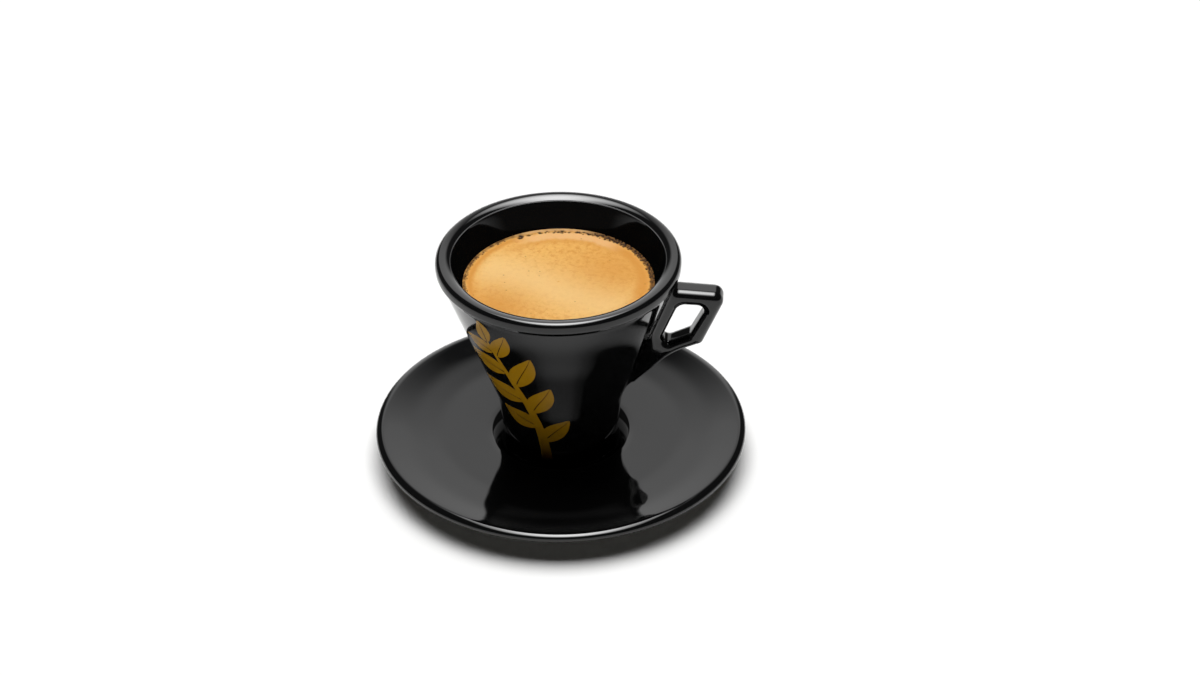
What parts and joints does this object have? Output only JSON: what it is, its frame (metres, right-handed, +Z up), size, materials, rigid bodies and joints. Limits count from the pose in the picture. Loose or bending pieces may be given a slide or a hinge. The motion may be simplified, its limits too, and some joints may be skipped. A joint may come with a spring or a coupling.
{
  "type": "cup of cafe creme on a saucer",
  "caption": "Cup of coffee with a foamed crema top, in a flared thick-walled cup with an angular handle, standing in the well of a wide flat saucer.",
  "frame": {"origin": "centre of the saucer's underside, on the plane it stands on", "axes": "+Z up, along the axis of the cup and saucer; +X towards the handle"},
  "size_m": [0.1394, 0.1394, 0.088],
  "materials": {
    "black_glaze": "deep black gloss glaze",
    "crema": "wet fine foam, golden brown",
    "gold_print": "ochre gold colour under the gloss glaze"
  },
  "bodies": {
    "root": {"saucer": "black_glaze", "cup": "black_glaze", "coffee": "crema"}
  },
  "joints": []
}
